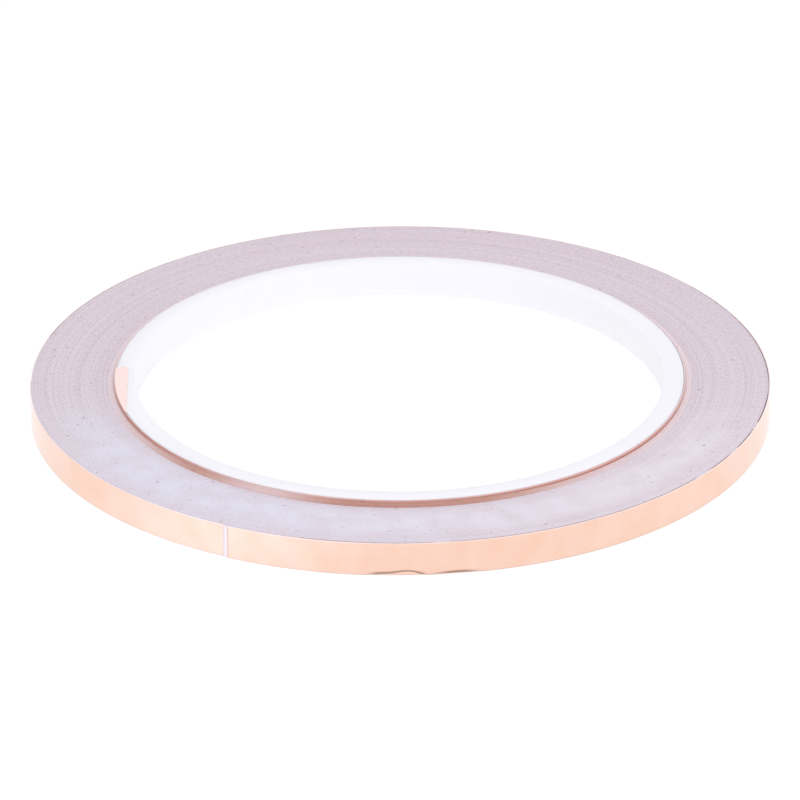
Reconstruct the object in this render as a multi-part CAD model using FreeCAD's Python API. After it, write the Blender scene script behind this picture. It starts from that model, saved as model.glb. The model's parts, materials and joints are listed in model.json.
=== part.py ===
"""Roll of copper foil tape for stained glass, wound on a moulded plastic core.

Millimetres, +Z up.  The origin is on the roll's axis, in the plane that the winding rests on.
The tape winds outwards clockwise, seen from above.  Its spiral is made of half turns that start
and end on the X axis: even ones set out from +X and pass through -Y, odd ones pass through +Y.
"""
import FreeCAD
import Part
import os
from math import cos, degrees, pi, radians, sin

V = FreeCAD.Vector
HALF_TURN = 180

# Tape: copper foil, the adhesive on its back and the paper liner that is peeled off.
TAPE_WIDTH = 5.0
FOIL_THICKNESS = 0.035
ADHESIVE_THICKNESS = 0.028
LINER_THICKNESS = 0.060

# Core: a moulded ring as wide as the tape, which has slid up inside the roll by CORE_RAISE.
CORE_BORE_RADIUS = 38.2
CORE_WALL = 3.0
CORE_CHAMFER = 0.4
CORE_RAISE = 0.75

# Winding: the starter turns moved up with the core and step down to the level of the others.
TURNS = 101
STARTER_TURNS = 9
START_ANGLE = 165.7
SEAM_ANGLE = 116.7
LOOSE_GAP = 0.08

# First end of the tape, folded over the core's rim, with an oblique torn end.
TAB_LAP = 2.0
TAB_ANGLE = 21.3
TAB_TEAR_ANGLE = -4.7

# Last end of the tape: the length that lifts off, the part of it where the foil stays stuck to
# the paper, and how far the paper reaches past the foil.
TAIL_LENGTH = 16.0
BONDED_LENGTH = 5.0
LINER_PROTRUSION = 0.6

# Sizes that follow from the ones above.
TAPE_THICKNESS = LINER_THICKNESS + ADHESIVE_THICKNESS + FOIL_THICKNESS
LOOSE_PITCH = TAPE_THICKNESS + LOOSE_GAP
CORE_RADIUS = CORE_BORE_RADIUS + CORE_WALL
CORE_TOP = CORE_RAISE + TAPE_WIDTH
STARTER_HALF_TURNS = 2 * STARTER_TURNS
LAST_HALF_TURN = 2 * TURNS
LOOSE_HALF_TURN = LAST_HALF_TURN - 1

# Layers of the tape: the levels of their faces above the inner face of the turn.
LINER = (0.0, LINER_THICKNESS)
ADHESIVE = (LINER_THICKNESS, LINER_THICKNESS + ADHESIVE_THICKNESS)
FOIL = (LINER_THICKNESS + ADHESIVE_THICKNESS, TAPE_THICKNESS)
COATED_FOIL = (LINER_THICKNESS, TAPE_THICKNESS)


def crossing_radius(half_turn):
    """Radius of the tape's inner face where a half turn starts, on the X axis."""
    radius = CORE_RADIUS + TAPE_THICKNESS * (half_turn / 2 - START_ANGLE / (2 * HALF_TURN))
    loose_half_turns = max(0, half_turn - LOOSE_HALF_TURN)
    return radius + LOOSE_GAP / 2 * loose_half_turns


def spiral_point(half_turn, angle, level):
    """Point at an angle into a half turn, at a level above the tape's inner face."""
    pitch = LOOSE_PITCH if half_turn >= LOOSE_HALF_TURN else TAPE_THICKNESS
    side = 1 if half_turn % 2 == 0 else -1
    arc_radius = crossing_radius(half_turn) + pitch / 4 + level
    x = side * (arc_radius * cos(radians(angle)) - pitch / 4)
    y = -side * arc_radius * sin(radians(angle))
    return V(x, y, 0)


def spiral_arcs(level, first, start, last, end):
    """Points that set each arc, from an angle in the first half turn to one in the last."""
    arcs = []
    for half_turn in range(first, last + 1):
        begin = start if half_turn == first else 0
        finish = end if half_turn == last else HALF_TURN
        angles = (begin, (begin + finish) / 2, finish)
        arcs.append([spiral_point(half_turn, angle, level) for angle in angles])
    return arcs


def wound_strip(layer, bottom, first, start, last, end):
    """One layer of the tape, wound on edge: its spiral outline extruded over the tape's width."""
    inner = spiral_arcs(layer[0], first, start, last, end)
    outer = spiral_arcs(layer[1], first, start, last, end)
    edges = [Part.Arc(*arc).toShape() for arc in inner]
    edges.append(Part.LineSegment(inner[-1][2], outer[-1][2]).toShape())
    edges += [Part.Arc(*reversed(arc)).toShape() for arc in reversed(outer)]
    edges.append(Part.LineSegment(outer[0][0], inner[0][0]).toShape())
    outline = Part.Face(Part.Wire(edges))
    outline.translate(V(0, 0, bottom))
    return outline.extrude(V(0, 0, TAPE_WIDTH))


def core():
    """Ring that the tape is wound on, with a chamfer at both ends of its bore."""
    profile = [
        (CORE_RADIUS, CORE_RAISE),
        (CORE_RADIUS, CORE_TOP),
        (CORE_BORE_RADIUS + CORE_CHAMFER, CORE_TOP),
        (CORE_BORE_RADIUS, CORE_TOP - CORE_CHAMFER),
        (CORE_BORE_RADIUS, CORE_RAISE + CORE_CHAMFER),
        (CORE_BORE_RADIUS + CORE_CHAMFER, CORE_RAISE),
    ]
    corners = [V(radius, 0, height) for radius, height in profile]
    section = Part.Face(Part.makePolygon(corners + corners[:1]))
    return section.revolve(V(0, 0, 0), V(0, 0, 1), 360)


def rim_point(radius, angle):
    """Point on the core's top face, at an angle into the first half turn."""
    return V(radius * cos(radians(angle)), -radius * sin(radians(angle)), CORE_TOP)


def starter_tab():
    """First end of the foil, folded flat over the core's rim; its torn end is oblique."""
    inner_radius = CORE_RADIUS - TAB_LAP
    outer_radius = CORE_RADIUS + TAPE_THICKNESS
    torn = START_ANGLE + TAB_TEAR_ANGLE
    folded = START_ANGLE + TAB_ANGLE
    inner = [rim_point(inner_radius, angle) for angle in (torn, (torn + folded) / 2, folded)]
    outer = [rim_point(outer_radius, angle) for angle in (folded, (folded + START_ANGLE) / 2, START_ANGLE)]
    edges = [
        Part.Arc(*inner).toShape(),
        Part.LineSegment(inner[-1], outer[0]).toShape(),
        Part.Arc(*outer).toShape(),
        Part.LineSegment(outer[-1], inner[0]).toShape(),
    ]
    return Part.Face(Part.Wire(edges)).extrude(V(0, 0, ADHESIVE_THICKNESS + FOIL_THICKNESS))


def starter_turns(layer):
    """First turns of a layer, stepping down from the core's level to that of the winding."""
    half_turns = []
    for half_turn in range(STARTER_HALF_TURNS):
        bottom = CORE_RAISE * (1 - half_turn / STARTER_HALF_TURNS)
        start = START_ANGLE if half_turn == 0 else 0
        half_turns.append(wound_strip(layer, bottom, half_turn, start, half_turn, HALF_TURN))
    return half_turns[0].fuse(half_turns[1:])


def turn_outline(level, first):
    """Face inside one whole turn of the spiral, closed by a step as high as the tape is thick."""
    arcs = spiral_arcs(level, first, 0, first + 1, HALF_TURN)
    edges = [Part.Arc(*arc).toShape() for arc in arcs]
    edges.append(Part.LineSegment(arcs[-1][2], arcs[0][0]).toShape())
    return Part.Face(Part.Wire(edges))


def wound_tape():
    """The tightly wound turns, pressed into one block between the starter and the outer turn."""
    outline = turn_outline(TAPE_THICKNESS, LOOSE_HALF_TURN - 2)
    opening = turn_outline(0, STARTER_HALF_TURNS)
    return outline.cut(opening).extrude(V(0, 0, TAPE_WIDTH))


def tail_place(length):
    """Angle into the last half turn of a place on the tail, at a length past its root."""
    return SEAM_ANGLE + degrees((length - TAIL_LENGTH) / crossing_radius(LAST_HALF_TURN))


def outer_turn(layer):
    """The last turn of a layer, which has sprung open a little, up to the tail that lifts off."""
    return wound_strip(layer, 0, LOOSE_HALF_TURN, 0, LAST_HALF_TURN, tail_place(0))


def tail(layer, start, end):
    """A stretch of the tail's layer, between two lengths past the root where the tail bends."""
    start_angle = tail_place(start)
    return wound_strip(layer, 0, LAST_HALF_TURN, start_angle, LAST_HALF_TURN, tail_place(end))


def hinge_point(length):
    """Point on a line of bending across the tail, at the outer corner of the tape."""
    return tuple(spiral_point(LAST_HALF_TURN, tail_place(length), TAPE_THICKNESS))


def tape_length():
    """Length of tape on the roll, in metres, from the area that its turns cover."""
    outer_radius = crossing_radius(LAST_HALF_TURN) - LOOSE_GAP / 2 + TAPE_THICKNESS / 2
    inner_radius = CORE_RADIUS + TAPE_THICKNESS / 2
    area = pi * (outer_radius ** 2 - inner_radius ** 2)
    return area / TAPE_THICKNESS / 1000


parts = {
    "core": core(),
    "starter_tab": starter_tab(),
    "starter_foil": starter_turns(COATED_FOIL),
    "starter_liner": starter_turns(LINER),
    "wound_tape": wound_tape(),
    "outer_turn_foil": outer_turn(COATED_FOIL),
    "outer_turn_liner": outer_turn(LINER),
    "liner_tail": tail(LINER, 0, TAIL_LENGTH + LINER_PROTRUSION),
    "bonded_foil": tail(COATED_FOIL, 0, BONDED_LENGTH),
    "foil_tail": tail(FOIL, BONDED_LENGTH, TAIL_LENGTH),
    "tail_adhesive": tail(ADHESIVE, BONDED_LENGTH, TAIL_LENGTH),
}

os.makedirs("parts", exist_ok=True)
for name, shape in parts.items():
    shape.exportStep(f"parts/{name}.step")
    print(f"{name}: {len(shape.Solids)} solid, valid {shape.isValid()}, {shape.Volume:.2f} mm3")
print(f"tape length {tape_length():.1f} m")
print(f"tail lifts at {hinge_point(0)}, foil peels at {hinge_point(BONDED_LENGTH)}")
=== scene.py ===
"""Looks of a roll of copper foil tape for stained glass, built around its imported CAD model."""
import json
from math import ceil, cos, pi, radians, sin, tau

import bpy
import numpy as np
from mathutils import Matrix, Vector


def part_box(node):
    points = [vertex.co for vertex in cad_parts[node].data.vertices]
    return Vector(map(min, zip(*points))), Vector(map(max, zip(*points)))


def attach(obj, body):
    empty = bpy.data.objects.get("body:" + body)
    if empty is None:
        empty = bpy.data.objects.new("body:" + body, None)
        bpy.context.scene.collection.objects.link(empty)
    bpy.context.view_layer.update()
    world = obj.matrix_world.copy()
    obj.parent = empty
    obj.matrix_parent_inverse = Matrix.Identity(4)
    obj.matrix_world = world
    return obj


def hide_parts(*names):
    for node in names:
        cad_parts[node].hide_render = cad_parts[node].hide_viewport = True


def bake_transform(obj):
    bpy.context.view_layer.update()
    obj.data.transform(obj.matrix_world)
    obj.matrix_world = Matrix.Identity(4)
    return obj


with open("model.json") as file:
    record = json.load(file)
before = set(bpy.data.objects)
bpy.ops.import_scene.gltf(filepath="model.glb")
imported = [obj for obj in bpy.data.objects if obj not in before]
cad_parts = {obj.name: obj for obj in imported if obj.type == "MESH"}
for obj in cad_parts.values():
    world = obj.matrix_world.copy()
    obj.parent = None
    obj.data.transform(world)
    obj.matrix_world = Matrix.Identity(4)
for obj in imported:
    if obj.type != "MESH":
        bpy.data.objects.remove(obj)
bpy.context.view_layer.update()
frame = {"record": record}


# ---- Camera, floor and light -------------------------------------------------------------
# The roll lies on a white table in a white tent, and is seen from in front, a quarter of the
# way up.  The table glows a little, as backlit acrylic does, so the roll throws hardly a shadow.
MM = 0.001
CAMERA_DISTANCE = 1.486
CAMERA_ELEVATION = radians(25.55)
CAMERA_PITCH = radians(25.49)
CAMERA_ROLL = radians(-0.245)
LENS = 460.1

bpy.ops.object.select_all(action="DESELECT")
bpy.ops.object.camera_add(
    location=(0, -CAMERA_DISTANCE * cos(CAMERA_ELEVATION), CAMERA_DISTANCE * sin(CAMERA_ELEVATION)),
    rotation=(pi / 2 - CAMERA_PITCH, 0, 0),
)
camera = bpy.context.object
camera.rotation_euler.rotate_axis("Z", CAMERA_ROLL)
camera.data.lens = LENS
camera.data.sensor_width = 36
camera.data.clip_start = 0.01
bpy.context.scene.camera = camera
bpy.context.scene.view_settings.view_transform = "Standard"


def linear(colour):
    """Linear RGBA from an sRGB hex colour."""
    parts = [int(colour[i:i + 2], 16) / 255 for i in (1, 3, 5)]
    return [c / 12.92 if c <= 0.04045 else ((c + 0.055) / 1.055) ** 2.4 for c in parts] + [1]


def node(material, kind, settings=None, **links):
    """Add a node; settings go to its properties or sockets, links join sockets to its inputs.

    A socket is called by its name, or by _ and its number.  On a Mix node of colours, input 0 is
    the share, inputs 6 and 7 are the colours and output 2 is the result.
    """
    tree = material.node_tree
    added = tree.nodes.new(kind)

    def socket(name):
        return added.inputs[int(name[1:])] if name[1:].isdigit() else added.inputs[name.replace("_", " ")]

    for name, value in (settings or {}).items():
        if hasattr(added, name):
            setattr(added, name, value)
        else:
            socket(name).default_value = value
    for name, source in links.items():
        tree.links.new(source, socket(name))
    return added


def new_material(name):
    """Empty node material."""
    material = bpy.data.materials.new(name)
    material.use_nodes = True
    material.node_tree.nodes.clear()
    return material


# White acrylic table: a matt face that glows evenly, as if lit from below, with a painted pool of
# bluish light nearest to the front left of the roll.
FLOOR_SIZE = 6
FLOOR_GLOW = 0.95
POOL_GLOW = 0.36
POOL_CENTRE = (-38 * MM, -60 * MM, 0)
POOL_CORE = 8 * MM
POOL_REACH = 36 * MM
TENT_GLOW = 0.905

bpy.ops.mesh.primitive_grid_add(x_subdivisions=8, y_subdivisions=8, size=FLOOR_SIZE)
floor = bpy.context.object
floor.name = "floor"
acrylic = new_material("backlit_white_acrylic")
place = node(acrylic, "ShaderNodeTexCoord")
# Painted pool of light: extra glow that fades out with distance from a spot near the front left.
from_pool = node(
    acrylic, "ShaderNodeVectorMath", {"operation": "DISTANCE", "_1": POOL_CENTRE}, _0=place.outputs["Object"]
)
strength = node(
    acrylic,
    "ShaderNodeMapRange",
    {
        "interpolation_type": "SMOOTHSTEP",
        "From Min": POOL_CORE,
        "From Max": POOL_REACH,
        "To Min": POOL_GLOW,
        "To Max": 0.0,
    },
    Value=from_pool.outputs["Value"],
)
painted_pool = node(
    acrylic, "ShaderNodeEmission", {"Color": linear("#D6DEFF")}, Strength=strength.outputs["Result"]
)
glow = node(acrylic, "ShaderNodeEmission", {"Color": linear("#FFFFFF"), "Strength": FLOOR_GLOW})
face = node(acrylic, "ShaderNodeBsdfDiffuse", {"Color": (0.08, 0.08, 0.08, 1)})
lit = node(acrylic, "ShaderNodeAddShader", _0=glow.outputs[0], _1=painted_pool.outputs[0])
both = node(acrylic, "ShaderNodeAddShader", _0=lit.outputs[0], _1=face.outputs[0])
node(acrylic, "ShaderNodeOutputMaterial", Surface=both.outputs[0])
floor.data.materials.append(acrylic)

world = bpy.data.worlds.new("white_tent")
world.use_nodes = True
world.node_tree.nodes["Background"].inputs["Color"].default_value = linear("#FCFCFF")
world.node_tree.nodes["Background"].inputs["Strength"].default_value = TENT_GLOW
bpy.context.scene.world = world


def softbox(name, location, size, power, colour):
    """Square soft light, aimed at the roll."""
    bpy.ops.object.light_add(type="AREA", location=location)
    light = bpy.context.object
    light.name = name
    light.data.size = size
    light.data.energy = power
    light.data.color = linear(colour)[:3]
    light.rotation_euler = light.location.to_track_quat("Z", "Y").to_euler()


softbox("right_softbox", (0.5, -0.25, 0.35), 0.4, 0.25, "#FFFFFF")
softbox("front_softbox", (0.05, -0.5, 0.3), 0.3, 0.4, "#F1F3FF")
softbox("back_softbox", (0.1, 0.7, 0.8), 0.6, 0.75, "#FFF3F0")


# ---- Core --------------------------------------------------------------------------------
# Injection-moulded ring of white polystyrene, 3 mm thick, with its bore's rims chamfered.  Its
# section is drawn once and spun round the axis.
CORE_STEPS = 360
CORE_CHAMFER = 0.4 * MM
CORE_EDGE_RADIUS = 0.08 * MM
MERGE_DISTANCE = 0.001 * MM

core_low, core_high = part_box("core")
core_radius = core_high[0]
core_top = core_high[2]
mounts = {mount["name"]: mount for mount in frame["record"]["mounts"]}
bore_radius = mounts["bore"]["dims"]["r_mm"] * MM
wall_middle = (core_radius + bore_radius) / 2


def edit(piece, chosen):
    """Enter edit mode on a piece, with only the chosen vertices selected."""
    bpy.ops.object.select_all(action="DESELECT")
    piece.select_set(True)
    bpy.context.view_layer.objects.active = piece
    bpy.ops.object.mode_set(mode="EDIT")
    bpy.ops.mesh.select_mode(type="VERT")
    bpy.ops.mesh.select_all(action="DESELECT")
    bpy.ops.object.mode_set(mode="OBJECT")
    for vertex in piece.data.vertices:
        vertex.select = chosen(vertex.co)
    bpy.ops.object.mode_set(mode="EDIT")


bpy.ops.object.select_all(action="DESELECT")
bpy.ops.mesh.primitive_plane_add(
    size=1,
    location=(wall_middle, 0, (core_low[2] + core_top) / 2),
    rotation=(pi / 2, 0, 0),
)
core = bpy.context.object
core.name = "core_ring"
core.scale = (core_radius - bore_radius, core_top - core_low[2], 1)
bpy.ops.object.transform_apply(location=True, rotation=True, scale=True)
for at_bore, width, segments in ((True, CORE_CHAMFER, 2), (False, CORE_EDGE_RADIUS, 3)):
    edit(core, lambda corner: (corner.x < wall_middle) == at_bore)
    bpy.ops.mesh.bevel(offset=width, offset_pct=0, segments=segments, profile=0.5, affect="VERTICES")
    bpy.ops.object.mode_set(mode="OBJECT")
edit(core, lambda corner: True)
bpy.ops.mesh.delete(type="ONLY_FACE")
bpy.ops.mesh.select_all(action="SELECT")
bpy.ops.mesh.spin(steps=CORE_STEPS, angle=tau, center=(0, 0, 0), axis=(0, 0, 1))
bpy.ops.mesh.select_all(action="SELECT")
bpy.ops.mesh.remove_doubles(threshold=MERGE_DISTANCE)
bpy.ops.mesh.normals_make_consistent(inside=False)
bpy.ops.object.mode_set(mode="OBJECT")
bpy.ops.object.shade_smooth_by_angle(angle=radians(25))

# Polystyrene: bright white with a cold tint, a moulded gloss, and light that soaks in a little.
MOULD_CLOUD = 9 * MM
MOULD_GRAIN = 0.5 * MM
LIGHT_DEPTH = 1.2 * MM

polystyrene = new_material("moulded_white_polystyrene")
place = node(polystyrene, "ShaderNodeTexCoord")
clouds = {"Scale": 1 / MOULD_CLOUD, "Detail": 3.0}
cloud = node(polystyrene, "ShaderNodeTexNoise", clouds, Vector=place.outputs["Object"])
tint = node(polystyrene, "ShaderNodeValToRGB", Fac=cloud.outputs["Fac"])
tint.color_ramp.elements[0].color = linear("#F3F2F8")
tint.color_ramp.elements[1].color = linear("#F9F8FC")
grains = {"Scale": 1 / MOULD_GRAIN, "Detail": 4.0}
grain = node(polystyrene, "ShaderNodeTexNoise", grains, Vector=place.outputs["Object"])
gloss = node(
    polystyrene, "ShaderNodeMapRange", {"To Min": 0.28, "To Max": 0.42}, Value=grain.outputs["Fac"]
)
ripple = node(
    polystyrene, "ShaderNodeBump", {"Strength": 0.12, "Distance": 0.02 * MM}, Height=grain.outputs["Fac"]
)
shader = node(
    polystyrene,
    "ShaderNodeBsdfPrincipled",
    {
        "IOR": 1.59,
        "Subsurface Weight": 0.25,
        "Subsurface Radius": (1.0, 1.0, 1.0),
        "Subsurface Scale": LIGHT_DEPTH,
    },
    Base_Color=tint.outputs["Color"],
    Roughness=gloss.outputs["Result"],
    Normal=ripple.outputs["Normal"],
)
node(polystyrene, "ShaderNodeOutputMaterial", Surface=shader.outputs["BSDF"])
core.data.materials.append(polystyrene)
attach(core, "roll")
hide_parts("core")


# ---- Wound tape --------------------------------------------------------------------------
# About 91 turns of copper foil and of its paper liner, pressed together.  Each is one strip,
# laid out flat, given its thickness and then wound: no two turns stop at quite the same height.
# Places along the tape are counted in turns, clockwise from +X.
LINER = 0.060 * MM
COATED_FOIL = 0.063 * MM
PITCH = LINER + COATED_FOIL
TAPE_WIDTH = 5.0 * MM
LAST_TURN = 101
START_TURN = 165.7 / 360
SEAM_TURN = LAST_TURN + 117.0 / 360
FIRST_WOUND_TURN = 9
LOOSE_TURN = LAST_TURN - 0.5
LOOSE_GAP = 0.08 * MM
WOUND_STEPS = 200
SLIDE = 0.01 * MM


def inner_radius(turn):
    """Radius of the tape's inner face at a place counted in turns from the start."""
    loose = np.maximum(0, turn - LOOSE_TURN)
    return core_radius + PITCH * (turn - START_TURN) + LOOSE_GAP * loose


def wander(turn, every, seed):
    """Smooth random line between 0 and 1 along the tape, with a new value every so many turns."""
    values = np.random.default_rng(seed).random(ceil(SEAM_TURN / every) + 4)
    at = turn / every
    whole = np.floor(at).astype(int)
    ease = 3 * (at - whole) ** 2 - 2 * (at - whole) ** 3
    return values[whole] * (1 - ease) + values[whole + 1] * ease


def bump(turn, middle, half_width):
    """Smooth rise and fall around an angle of the roll, both in degrees clockwise from +X."""
    away = (turn * 360 % 360 - middle) / half_width
    return np.where(abs(away) < 1, np.cos(away * pi / 2) ** 2, 0)


# The first turn and a half moved up all the way with the core.  At the front, 90 degrees
# clockwise from +X, the next eight turns come down evenly.  Elsewhere most of the drop is
# over within little more than a turn.
RAISED_TURNS = 1.5
EVEN_DROP_TURNS = 8
SUDDEN_DROP_TURNS = 1.2
SUDDEN_SHARE = 0.6
EVEN_STRETCH = (105, 75)


def raised(turn):
    """How far the tape has moved up with the core: fading evenly at the front, stepped elsewhere."""
    sudden = SUDDEN_SHARE * (1 - bump(turn, *EVEN_STRETCH))
    fading = np.clip(1 - (turn - RAISED_TURNS) / EVEN_DROP_TURNS, 0, 1)
    stepped = np.clip(1 - (turn - RAISED_TURNS) / SUDDEN_DROP_TURNS, 0, 1)
    return core_low[2] * ((1 - sudden) * fading + sudden * stepped)


def flat_strip(name, turns, level, thickness, steps, rows=1):
    """Strip laid out flat: X counts turns, Y is the height on the roll and Z the level in a turn."""
    first, last = turns
    bpy.ops.object.select_all(action="DESELECT")
    bpy.ops.mesh.primitive_grid_add(
        x_subdivisions=ceil((last - first) * steps),
        y_subdivisions=rows,
        size=1,
        location=((first + last) / 2, TAPE_WIDTH / 2, level),
    )
    strip = bpy.context.object
    strip.name = name
    strip.scale = (last - first, TAPE_WIDTH, 1)
    bpy.ops.object.transform_apply(location=True, rotation=True, scale=True)
    solidify = strip.modifiers.new("thickness", "SOLIDIFY")
    solidify.thickness = thickness
    solidify.offset = 1
    bpy.ops.object.modifier_apply(modifier=solidify.name)
    return strip


def wind(strip, shape, face, edge):
    """Wind a flat strip.  shape gives each point's height, shift outwards and how much painted
    shade it gets.

    The UV map holds the millimetres along and across the tape, and the attribute holds how much
    painted shade each point gets, from 0 to 1.
    """
    mesh = strip.data
    mesh.materials.append(face)
    mesh.materials.append(edge)
    for polygon in mesh.polygons:
        polygon.material_index = int(abs(polygon.normal.y) > 0.5)
    flat = np.empty(len(mesh.vertices) * 3)
    mesh.vertices.foreach_get("co", flat)
    turn, height, level = flat.reshape(-1, 3).T
    corners = np.empty(len(mesh.loops), dtype=int)
    mesh.loops.foreach_get("vertex_index", corners)
    length = turn * tau * inner_radius(turn)
    unrolled = np.stack([length, height], axis=1) / MM
    mesh.uv_layers.active.data.foreach_set("uv", unrolled[corners].ravel())
    height, shift, painted_shade = shape(turn, height)
    radius = inner_radius(turn) + level + shift
    wound = np.stack([radius * np.cos(tau * turn), -radius * np.sin(tau * turn), height], axis=1)
    mesh.vertices.foreach_set("co", wound.ravel())
    mesh.attributes.new("painted_shade", "FLOAT", "POINT").data.foreach_set("value", painted_shade + 0 * turn)
    mesh.update()
    bpy.ops.object.mode_set(mode="EDIT")
    bpy.ops.mesh.select_all(action="SELECT")
    bpy.ops.mesh.flip_normals()
    bpy.ops.object.mode_set(mode="OBJECT")
    bpy.ops.object.shade_smooth_by_angle(angle=radians(30))


# Rolled copper foil: the face has fine lines along the tape, from the rolling mill, and faint
# blotches where fingers and air have begun to tone it.  A clear lacquer keeps it bright.  A painted
# highlight lightens its upper edge and a painted contact shade greys its lower edge.  The rolling
# lines are drawn coarser than real ones, which are finer than anything a view can show, and 25
# times as long as wide.  A line and a blotch are sized in millimetres on the UV map.
ROLLING_LINE = 0.09
ROLLING_LENGTH = 25 * ROLLING_LINE
BLOTCH = 6.0
EDGE_BAND = 0.16 * MM
FOOT_SHADE_SHARE = 0.6


def foil_material(name, dark, light, shade_colour, lacquer, edge_highlight_and_shade):
    """Rolled copper foil from dark to light, its colour under painted shade, and how strong the painted
    highlight on its upper edge and the painted shade on its lower edge are.
    """
    material = new_material(name)
    unrolled = node(material, "ShaderNodeUVMap")
    stretch = {"Scale": (1 / ROLLING_LENGTH, 1 / ROLLING_LINE, 1)}
    along = node(material, "ShaderNodeMapping", stretch, Vector=unrolled.outputs["UV"])
    fine = {"Scale": 1.0, "Detail": 3.0}
    lines = node(material, "ShaderNodeTexNoise", fine, Vector=along.outputs["Vector"])
    blotch = {"Scale": 1 / BLOTCH, "Detail": 4.0}
    toning = node(material, "ShaderNodeTexNoise", blotch, Vector=unrolled.outputs["UV"])
    colour = node(material, "ShaderNodeValToRGB", Fac=toning.outputs["Fac"])
    colour.color_ramp.elements[0].position = 0.3
    colour.color_ramp.elements[0].color = linear(dark)
    colour.color_ramp.elements[1].position = 0.6
    colour.color_ramp.elements[1].color = linear(light)
    # Painted shade: the face takes the shade colour as far as the attribute says.
    painted_shade = node(material, "ShaderNodeAttribute", {"attribute_name": "painted_shade"})
    shaded = node(
        material,
        "ShaderNodeMix",
        {"data_type": "RGBA", "_7": linear(shade_colour)},
        _0=painted_shade.outputs["Fac"],
        _6=colour.outputs["Color"],
    )
    across = node(material, "ShaderNodeSeparateXYZ", Vector=unrolled.outputs["UV"])
    # Painted highlight: a near-white band along the upper edge.
    rim = node(
        material,
        "ShaderNodeMapRange",
        {"From Min": (TAPE_WIDTH - EDGE_BAND) / MM, "From Max": TAPE_WIDTH / MM, "To Max": edge_highlight_and_shade},
        Value=across.outputs["Y"],
    )
    highlit = node(
        material,
        "ShaderNodeMix",
        {"data_type": "RGBA", "_7": linear("#FFEDEA")},
        _0=rim.outputs["Result"],
        _6=shaded.outputs[2],
    )
    # Painted contact shade: a grey band along the lower edge, where it meets the table.
    foot = node(
        material,
        "ShaderNodeMapRange",
        {"From Min": 0.0, "From Max": EDGE_BAND / MM, "To Min": FOOT_SHADE_SHARE * edge_highlight_and_shade, "To Max": 0.0},
        Value=across.outputs["Y"],
    )
    foot_shaded = node(
        material,
        "ShaderNodeMix",
        {"data_type": "RGBA", "_7": linear("#A8948C")},
        _0=foot.outputs["Result"],
        _6=highlit.outputs[2],
    )
    satin = {"To Min": 0.22, "To Max": 0.38}
    polish = node(material, "ShaderNodeMapRange", satin, Value=lines.outputs["Fac"])
    scored = {"Strength": 0.15, "Distance": 0.004 * MM}
    relief = node(material, "ShaderNodeBump", scored, Height=lines.outputs["Fac"])
    shader = node(
        material,
        "ShaderNodeBsdfPrincipled",
        {"Metallic": 1.0, "Coat Weight": lacquer, "Coat Roughness": 0.12},
        Base_Color=foot_shaded.outputs[2],
        Roughness=polish.outputs["Result"],
        Normal=relief.outputs["Normal"],
    )
    node(material, "ShaderNodeOutputMaterial", Surface=shader.outputs["BSDF"])
    return material


# Slit edges: a knife cut each turn, so each has its own tone, with nicks and dark specks of dust.
# The front has a painted sheen, cold at the left and warm at the right, in patches, and strongest
# midway between the core and the outer turn: each pair is a share of the way across, and how strong
# the painted sheen is there.
NICKS_PER_MM = 1.2
TONE_LENGTH = 90
TONE_SHARE = 0.4
CLOUD = 4 * MM
DUST = 1.0 * MM
WINDING_RADII = (41.2 * MM, 53.6 * MM)
SHEEN_ACROSS = ((0.10, 0.35), (0.35, 1.0), (0.65, 1.0), (0.88, 0.45))


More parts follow.
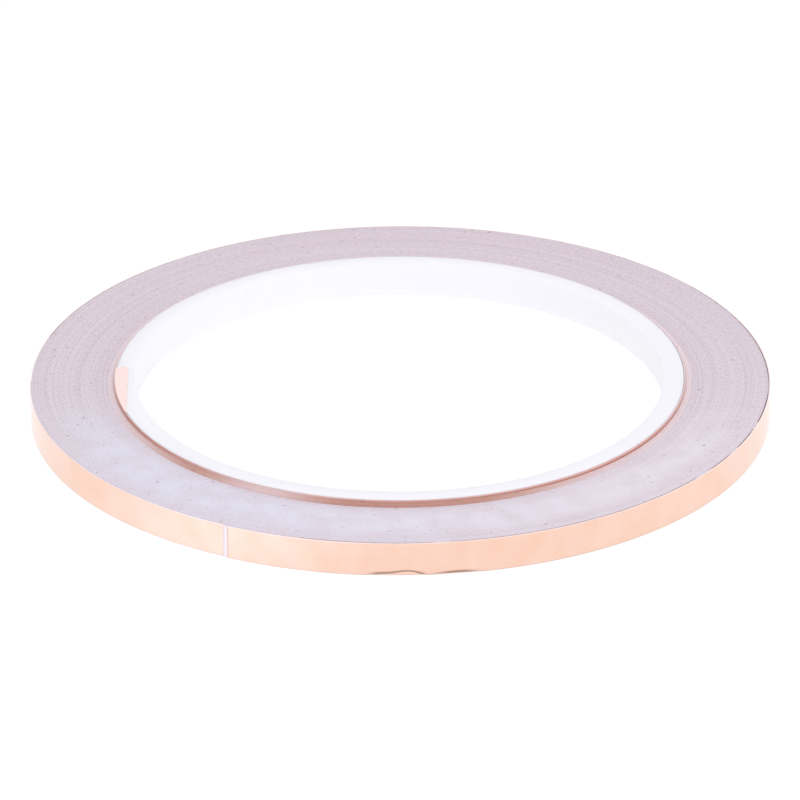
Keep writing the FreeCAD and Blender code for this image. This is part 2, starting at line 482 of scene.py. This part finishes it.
def edge_material(name, dark, light, cool, warm, shade_colour, metallic, roughness):
    """Cut edges from dark to light, with a painted sheen at the front, cool at the left and warm at the
    right, and their colour under painted shade.
    """
    material = new_material(name)
    unrolled = node(material, "ShaderNodeUVMap")
    nicked = {"Scale": NICKS_PER_MM, "Detail": 4.0}
    nicks = node(material, "ShaderNodeTexNoise", nicked, Vector=unrolled.outputs["UV"])
    turned = {"Scale": 1 / TONE_LENGTH, "Detail": 1.0}
    turns = node(material, "ShaderNodeTexNoise", turned, Vector=unrolled.outputs["UV"])
    uneven = node(
        material,
        "ShaderNodeMix",
        {"data_type": "FLOAT", "_0": TONE_SHARE},
        _2=nicks.outputs["Fac"],
        _3=turns.outputs["Fac"],
    )
    colour = node(material, "ShaderNodeValToRGB", Fac=uneven.outputs[0])
    colour.color_ramp.elements[0].position = 0.41
    colour.color_ramp.elements[0].color = linear(dark)
    colour.color_ramp.elements[1].position = 0.59
    colour.color_ramp.elements[1].color = linear(light)
    place = node(material, "ShaderNodeTexCoord")
    axes = node(material, "ShaderNodeSeparateXYZ", Vector=place.outputs["Object"])
    # Painted sheen: its share rises towards the front, peaks midway across the winding and comes in
    # patches.
    front = node(
        material,
        "ShaderNodeMapRange",
        {"From Min": 0.0, "From Max": -30 * MM, "interpolation_type": "SMOOTHSTEP"},
        Value=axes.outputs["Y"],
    )
    sideways = {"From Min": -25 * MM, "From Max": 35 * MM}
    right = node(material, "ShaderNodeMapRange", sideways, Value=axes.outputs["X"])
    sheen_colour = node(
        material,
        "ShaderNodeMix",
        {"data_type": "RGBA", "_6": linear(cool), "_7": linear(warm)},
        _0=right.outputs["Result"],
    )
    radius = node(material, "ShaderNodeVectorMath", {"operation": "LENGTH"}, _0=place.outputs["Object"])
    span = {"From Min": WINDING_RADII[0], "From Max": WINDING_RADII[1]}
    across = node(material, "ShaderNodeMapRange", span, Value=radius.outputs["Value"])
    middle = node(material, "ShaderNodeValToRGB", Fac=across.outputs["Result"])
    for position, level in SHEEN_ACROSS:
        stop = middle.color_ramp.elements.new(position)
        stop.color = (level, level, level, 1)
    middle.color_ramp.elements.remove(middle.color_ramp.elements[-1])
    middle.color_ramp.elements.remove(middle.color_ramp.elements[0])
    clouds = {"Scale": 1 / CLOUD, "Detail": 5.0}
    cloud = node(material, "ShaderNodeTexNoise", clouds, Vector=place.outputs["Object"])
    patches = {"From Min": 0.35, "From Max": 0.6, "To Min": 0.45, "To Max": 0.95}
    patchy = node(material, "ShaderNodeMapRange", patches, Value=cloud.outputs["Fac"])
    product = {"operation": "MULTIPLY"}
    banded = node(
        material, "ShaderNodeMath", product, _0=front.outputs["Result"], _1=middle.outputs["Color"]
    )
    share = node(material, "ShaderNodeMath", product, _0=banded.outputs[0], _1=patchy.outputs["Result"])
    with_sheen = node(
        material,
        "ShaderNodeMix",
        {"data_type": "RGBA"},
        _0=share.outputs[0],
        _6=colour.outputs["Color"],
        _7=sheen_colour.outputs[2],
    )
    # Painted shade: the edge takes the shade colour as far as the attribute says.
    painted_shade = node(material, "ShaderNodeAttribute", {"attribute_name": "painted_shade"})
    shaded = node(
        material,
        "ShaderNodeMix",
        {"data_type": "RGBA", "_7": linear(shade_colour)},
        _0=painted_shade.outputs["Fac"],
        _6=with_sheen.outputs[2],
    )
    grains = {"Scale": 1 / DUST, "Detail": 2.0}
    dust = node(material, "ShaderNodeTexNoise", grains, Vector=place.outputs["Object"])
    sparse = {"From Min": 0.665, "From Max": 0.73, "To Max": 0.5}
    specks = node(material, "ShaderNodeMapRange", sparse, Value=dust.outputs["Fac"])
    specked = node(
        material,
        "ShaderNodeMix",
        {"data_type": "RGBA", "_7": linear("#8A7C80")},
        _0=specks.outputs["Result"],
        _6=shaded.outputs[2],
    )
    shader = node(
        material,
        "ShaderNodeBsdfPrincipled",
        {"Metallic": metallic, "Roughness": roughness},
        Base_Color=specked.outputs[2],
    )
    node(material, "ShaderNodeOutputMaterial", Surface=shader.outputs["BSDF"])
    return material


bright_foil = foil_material(
    "lacquered_rolled_copper_foil", dark="#F8CDB6", light="#FBD5C3", shade_colour="#8A5F52", lacquer=0.9, edge_highlight_and_shade=0.8
)
slit_foil = edge_material(
    "slit_copper_foil_edge",
    dark="#BFB0B8", light="#DACBD4", cool="#CFCDDD", warm="#D5CCD5", shade_colour="#B09A98",
    metallic=0.0, roughness=0.5,
)
slit_paper = edge_material(
    "slit_release_paper_edge",
    dark="#D6CAD3", light="#EEE4EC", cool="#F0F0FC", warm="#F6EFF6", shade_colour="#E4CAC6",
    metallic=0.0, roughness=0.6,
)

# Glassine liner: smooth, faintly violet release paper.  Its fibres are drawn three to a
# millimetre, coarser than real ones.
FIBRES_PER_MM = 3.0

glassine = new_material("glassine_release_paper")
unrolled = node(glassine, "ShaderNodeUVMap")
fibrous = {"Scale": FIBRES_PER_MM, "Detail": 6.0}
fibres = node(glassine, "ShaderNodeTexNoise", fibrous, Vector=unrolled.outputs["UV"])
pulp = node(glassine, "ShaderNodeValToRGB", Fac=fibres.outputs["Fac"])
pulp.color_ramp.elements[0].color = linear("#EADFE2")
pulp.color_ramp.elements[1].color = linear("#F3E9EC")
# Painted shade: the paper greys as far as the attribute says.
painted_shade = node(glassine, "ShaderNodeAttribute", {"attribute_name": "painted_shade"})
under_shade = node(
    glassine,
    "ShaderNodeMix",
    {"data_type": "RGBA", "_7": linear("#B9ADB4")},
    _0=painted_shade.outputs["Fac"],
    _6=pulp.outputs["Color"],
)
rough = {"Strength": 0.2, "Distance": 0.005 * MM}
tooth = node(glassine, "ShaderNodeBump", rough, Height=fibres.outputs["Fac"])
shader = node(
    glassine,
    "ShaderNodeBsdfPrincipled",
    {"Roughness": 0.35, "IOR": 1.45},
    Base_Color=under_shade.outputs[2],
    Normal=tooth.outputs["Normal"],
)
node(glassine, "ShaderNodeOutputMaterial", Surface=shader.outputs["BSDF"])

# The last wound turn is crushed here and there, which leaves a dark gap inside the outer turn.
CRUSH = 0.16
CRUSHED_TURNS = (LOOSE_TURN - 0.95, LOOSE_TURN - 0.2)


def sunk(turn):
    """Share of its width by which the turn below the outer one is crushed, here and there."""
    below = (turn > CRUSHED_TURNS[0]) * (turn < CRUSHED_TURNS[1])
    return CRUSH * below * np.clip(1.8 * wander(turn, 0.013, 71) - 0.3, 0, 1)


def wound_shape(every, seed):
    """Shape of a wound strip, which slides up and down a little from turn to turn."""
    def shape(turn, height):
        slide = SLIDE * wander(turn, every, seed)
        return height * (1 - SLIDE / TAPE_WIDTH - sunk(turn)) + slide + raised(turn), 0, 0
    return shape


wound = (FIRST_WOUND_TURN, LOOSE_TURN)
wound_foil = flat_strip("wound_foil", wound, LINER, COATED_FOIL, WOUND_STEPS)
wind(wound_foil, wound_shape(every=0.43, seed=11), bright_foil, slit_foil)
wound_liner = flat_strip("wound_liner", wound, 0, LINER, WOUND_STEPS)
wind(wound_liner, wound_shape(every=0.37, seed=21), glassine, slit_paper)
for strip, finish in ((wound_foil, "copper_foil"), (wound_liner, "liner_paper")):
    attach(strip, "roll")
    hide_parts("wound_tape")


# ---- Starter turns -----------------------------------------------------------------------
# The first nine turns stuck to the core and moved up with it.  Going outwards, each has slid
# back a little further, so their copper faces show as a narrow band, darkened brown by painted shade.
STARTER_STEPS = 480
STARTER_SLIP = 0.18
SLIP_STRETCH = (105, 80)
SHADE_STRETCH = (104, 66)
PALE_SPOT = (118, 19)
TAB_STRETCH = (165, 50)

# Unlacquered copper: the starter's foil has no lacquer left.  Where it shows, it is darkened
# brown by painted shade.
unlacquered_foil = foil_material(
    "unlacquered_rolled_copper_foil", dark="#F1D0C4", light="#F9DFD5", shade_colour="#CE927A", lacquer=0.0, edge_highlight_and_shade=0.0
)
starter_edge = edge_material(
    "starter_copper_foil_edge",
    dark="#E6D3D6", light="#F3E2E5", cool="#F6E4E2", warm="#FAE6E4", shade_colour="#E4C2B9",
    metallic=0.0, roughness=0.5,
)


def starter_shape(turn, height):
    """Starter turns, which step down unevenly from the core's level to the winding's.

    They get a brown painted shade at the front, apart from a pale spot.  The second and third get
    it nearly all the way round, and the first only beside the tab, so elsewhere the first stays a
    light line beside the core, standing in for a highlight.
    """
    slid = STARTER_SLIP * raised(turn) * wander(turn, 0.23, 31) * bump(turn, *SLIP_STRETCH)
    first = np.clip((3.1 - turn) / 0.3, 0, 1)
    front = np.clip(1.8 * bump(turn, *SHADE_STRETCH), 0, 1)
    begun = np.maximum(np.clip((turn - 1.3) / 0.5, 0, 1), bump(turn, *TAB_STRETCH))
    # Brown painted shade, mostly at the front.
    painted_shade = begun * np.maximum(first, front) * (1 - bump(turn, *PALE_SPOT))
    return height + raised(turn) - slid, 0, painted_shade


starter = (START_TURN, FIRST_WOUND_TURN)
starter_foil = flat_strip("starter_turns_foil", starter, LINER, COATED_FOIL, STARTER_STEPS)
wind(starter_foil, starter_shape, unlacquered_foil, starter_edge)
starter_liner = flat_strip("starter_turns_liner", starter, 0, LINER, STARTER_STEPS)
wind(starter_liner, starter_shape, glassine, slit_paper)
for strip, part, finish in (
    (starter_foil, "starter_foil", "copper_foil"),
    (starter_liner, "starter_liner", "liner_paper"),
):
    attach(strip, "roll")
    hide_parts(part)


# ---- Outer turn --------------------------------------------------------------------------
# The last turn has sprung open by less than its own thickness.  Near the front its foil was
# knocked: the lower edge is pushed up in a low wave, and two faint creases cross the face.
OUTER_STEPS = 720
OUTER_ROWS = 20

# The tail is 0.28 mm longer than in the CAD model, as its seam is 0.3 degrees further round.
TAIL_LENGTH = 16.28 * MM

# Waves of the lower edge: millimetres up, and degrees clockwise from +X.
KNOCKS = ((0.6, 88.8, 3.2), (0.3, 92, 3.8), (0.22, 81.5, 5))
CREASES = ((0.025, 73.4, 0.5), (0.02, 71.2, 0.6))


def past_root(length):
    """Place on the tail, in turns, at a length past its root."""
    return SEAM_TURN + (length - TAIL_LENGTH) / (tau * inner_radius(LAST_TURN))


def outer_shape(turn, height):
    """The outer turn, with its pushed-up lower edge, creases and slight waviness, all inwards, and a
    painted shadow along the pushed-up lower edge.
    """
    share = np.clip(1 - height / TAPE_WIDTH, 0, 1)
    pushed = sum(rise * bump(turn, middle, half_width) for rise, middle, half_width in KNOCKS)
    crease = sum(depth * bump(turn, middle, half_width) for depth, middle, half_width in CREASES)
    wave = 0.012 + 0.012 * wander(turn, 0.021, 41) + 0.01 * wander(turn, 0.008, 42) * share
    shift = -(0.04 * pushed * share ** 6 + crease + wave) * MM
    # Painted shadow: darker just above the pushed-up lower edge.
    painted_shade = np.clip(pushed / 0.2, 0, 1) * np.clip(1.5 - height / (0.3 * MM), 0, 1)
    return height + pushed * MM * share ** 3, shift, painted_shade


# Outer edges: lighter than those below it, bright copper painted near white as a highlight, and
# nearly white paper, and grey with painted shadow only where the lower edge was knocked.
# The outer copper edge's near-white colour is a painted highlight.
bright_edge = edge_material(
    "bright_slit_copper_edge",
    dark="#F8DDD2", light="#FFF0EA", cool="#FFF0EA", warm="#FFF0EA", shade_colour="#C08F80",
    metallic=0.3, roughness=0.35,
)
fresh_edge = edge_material(
    "fresh_release_paper_edge",
    dark="#F4ECEE", light="#FCF6F8", cool="#FBF5F8", warm="#FBF5F8", shade_colour="#C8B4B2",
    metallic=0.0, roughness=0.6,
)
outer = (LOOSE_TURN, past_root(0))
outer_foil = flat_strip("outer_turn_foil_strip", outer, LINER, COATED_FOIL, OUTER_STEPS, OUTER_ROWS)
wind(outer_foil, outer_shape, bright_foil, bright_edge)
outer_liner = flat_strip("outer_turn_liner_strip", outer, 0, LINER, OUTER_STEPS, OUTER_ROWS)
wind(outer_liner, outer_shape, glassine, fresh_edge)
for strip, part, finish in (
    (outer_foil, "outer_turn_foil", "copper_foil"),
    (outer_liner, "outer_turn_liner", "liner_paper"),
):
    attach(strip, "roll")
    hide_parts(part)


# ---- Tail --------------------------------------------------------------------------------
# The free end of the tape goes on round the roll as the outer turn does.  Past the first few
# millimetres the foil and its adhesive peel off the paper, which reaches past the foil's end.
TAIL_STEPS = 1800
TAIL_ROWS = 10
LINER_PROTRUSION = 0.7 * MM
BONDED_LENGTH = 5 * MM
ADHESIVE = 0.028 * MM
CUT_SHADE = 0.6
CUT_BAND = 0.6 / TAIL_STEPS


def tail_shape(turn, height):
    """The tail goes on as the outer turn does, and each strip gets a little grey painted shade where it is
    cut.
    """
    height, shift, painted_shade = outer_shape(turn, height)
    # Painted shade: the last sliver of each strip, at its cut end.
    cut = turn > max(turn.max(), SEAM_TURN) - CUT_BAND
    return height, shift, np.maximum(painted_shade, CUT_SHADE * cut)


# Acrylic adhesive: a clear, tacky film that takes the copper's colour from behind it, smeared
# where it let go of the paper.
SMEARS_PER_MM = 2.0

acrylic_adhesive = new_material("clear_acrylic_adhesive")
unrolled = node(acrylic_adhesive, "ShaderNodeUVMap")
smeared = {"Scale": SMEARS_PER_MM, "Detail": 4.0}
smears = node(acrylic_adhesive, "ShaderNodeTexNoise", smeared, Vector=unrolled.outputs["UV"])
tone = node(acrylic_adhesive, "ShaderNodeValToRGB", Fac=smears.outputs["Fac"])
tone.color_ramp.elements[0].color = linear("#E0B8A2")
tone.color_ramp.elements[1].color = linear("#EFCDB8")
pulled = {"Strength": 0.3, "Distance": 0.01 * MM}
tacky = node(acrylic_adhesive, "ShaderNodeBump", pulled, Height=smears.outputs["Fac"])
shader = node(
    acrylic_adhesive,
    "ShaderNodeBsdfPrincipled",
    {"Roughness": 0.12, "IOR": 1.47, "Metallic": 0.4},
    Base_Color=tone.outputs["Color"],
    Normal=tacky.outputs["Normal"],
)
node(acrylic_adhesive, "ShaderNodeOutputMaterial", Surface=shader.outputs["BSDF"])

liner_span = (past_root(0), past_root(TAIL_LENGTH + LINER_PROTRUSION))
bonded_span = (past_root(0), past_root(BONDED_LENGTH))
peel_span = (past_root(BONDED_LENGTH), SEAM_TURN)
foil_level = LINER + ADHESIVE
bare_foil = COATED_FOIL - ADHESIVE
tail_pieces = (
    ("liner_tail", liner_span, 0, LINER, glassine, slit_paper, "liner_paper"),
    ("bonded_foil", bonded_span, LINER, COATED_FOIL, bright_foil, bright_edge, "copper_foil"),
    ("foil_tail", peel_span, foil_level, bare_foil, bright_foil, bright_edge, "copper_foil"),
    ("tail_adhesive", peel_span, LINER, ADHESIVE, acrylic_adhesive, acrylic_adhesive, "adhesive"),
)
for part, span, level, thickness, face, edge, finish in tail_pieces:
    strip = flat_strip(part + "_strip", span, level, thickness, TAIL_STEPS, TAIL_ROWS)
    wind(strip, tail_shape, face, edge)
    if part in ("liner_tail", "bonded_foil"):
        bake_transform(strip)
    else:
        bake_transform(strip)
    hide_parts(part)


# ---- Starter tab -------------------------------------------------------------------------
# The tape's first end: foil folded over the core's rim by a fingertip, so it lies there a
# little creased.  Its edge stays straight across the round rim, and its torn end is ragged.
TAB_EDGE = 39.45 * MM
TAB_CORNER = 162.8
TAB_END = 184.6
TAB_RAGGED = 0.6
TAB_COLUMNS = 160
TAB_ROWS = 24
TAB_NARROWEST = 0.05 * MM
TAB_LIFT = 0.02 * MM
TAB_CREASE = 0.012 * MM
TAB_FOIL = 0.035 * MM

# Tab copper: pressed down by a fingertip and a little dull; its pale colour is a painted highlight.
highlit_tab_foil = foil_material(
    "tab_copper_foil_painted_highlight", dark="#FBE0DA", light="#FEE8E4", shade_colour="#C08F80", lacquer=0.5, edge_highlight_and_shade=0.0
)

bpy.ops.object.select_all(action="DESELECT")
bpy.ops.mesh.primitive_grid_add(
    x_subdivisions=TAB_COLUMNS, y_subdivisions=TAB_ROWS, size=1, location=(0.5, 0.5, 0)
)
tab = bpy.context.object
tab.name = "starter_tab_fold"
bpy.ops.object.transform_apply(location=True, rotation=True, scale=True)
torn = np.random.default_rng(61).random(TAB_ROWS + 2)
rim = core_radius + PITCH
for vertex in tab.data.vertices:
    across, inward = vertex.co.x, vertex.co.y
    end = TAB_END - TAB_RAGGED * torn[round(inward * TAB_ROWS)]
    angle = radians(TAB_CORNER + (end - TAB_CORNER) * across)
    lap = max(TAB_NARROWEST, rim + TAB_EDGE / cos(angle))
    radius = rim - lap * inward
    crease = TAB_CREASE * (sin(across * 31 + inward * 3) + sin(across * 12 + 1.7)) * inward
    vertex.co = (radius * cos(angle), -radius * sin(angle), core_top + TAB_LIFT + abs(crease))
solidify = tab.modifiers.new("thickness", "SOLIDIFY")
solidify.thickness = TAB_FOIL
solidify.offset = 1
bpy.ops.object.modifier_apply(modifier=solidify.name)
edit(tab, lambda corner: True)
bpy.ops.mesh.normals_make_consistent(inside=False)
bpy.ops.object.mode_set(mode="OBJECT")
bpy.ops.object.shade_smooth_by_angle(angle=radians(40))
tab.data.materials.append(highlit_tab_foil)
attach(tab, "roll")
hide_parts("starter_tab")
